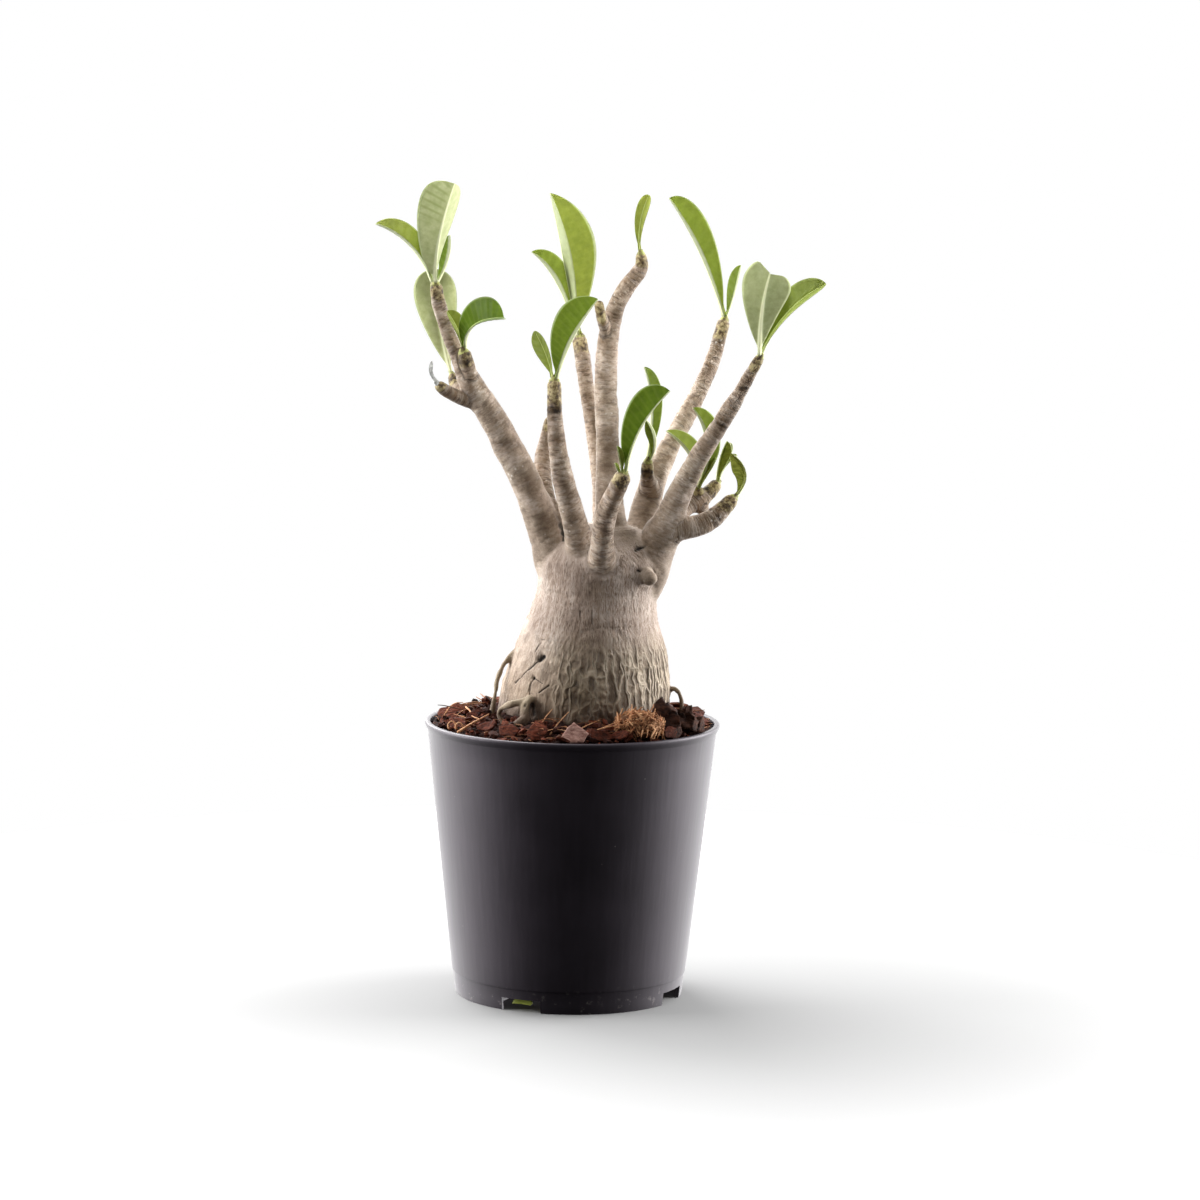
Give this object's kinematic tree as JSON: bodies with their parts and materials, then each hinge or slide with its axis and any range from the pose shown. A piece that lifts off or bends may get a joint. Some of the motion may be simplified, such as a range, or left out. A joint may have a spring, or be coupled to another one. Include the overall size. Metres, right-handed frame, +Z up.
{
  "type": "potted desert rose adenium",
  "caption": "Young succulent with a swollen caudex and bare upright branches tipped with small leaf tufts, in a tapered nursery pot.",
  "frame": {"origin": "middle of the bounding box on the surface that the pot stands on; the pot's axis is 8.65 mm to -X of it", "axes": "+Z up along the pot's axis, -Y towards the front, +X to the right"},
  "size_m": [0.1802, 0.12, 0.3306],
  "materials": {
    "pot": "injection moulded polypropylene, satin",
    "soil": "loose coir and bark mix",
    "bark": "smooth grey-beige living bark",
    "leaf": "fleshy leaf with a waxy sheen",
    "withered": "dry withered leaf",
    "bark_flake": "pine bark flake",
    "bark_chunk": "dark pine bark",
    "coir": "loose coconut fibre"
  },
  "bodies": {
    "root": {"pot": "pot", "soil": "soil", "bark_flake_front": "bark_flake", "bark_chunk_right": "bark_chunk", "coir_tuft_front": "coir", "caudex_and_branches": "bark", "leaves_left_tip": "leaf", "leaf_left_back": "leaf", "leaves_left_stub": "leaf", "withered_leaf_left": "withered", "leaves_front_left": "leaf", "leaves_back": "leaf", "leaf_centre_tip": "leaf", "leaves_front": "leaf", "leaves_back_right_stub": "leaf", "leaves_back_right": "leaf", "leaves_right_tip": "leaf", "leaves_low_back": "leaf", "leaves_right_fork": "leaf", "leaf_right_low": "leaf"}
  },
  "joints": []
}
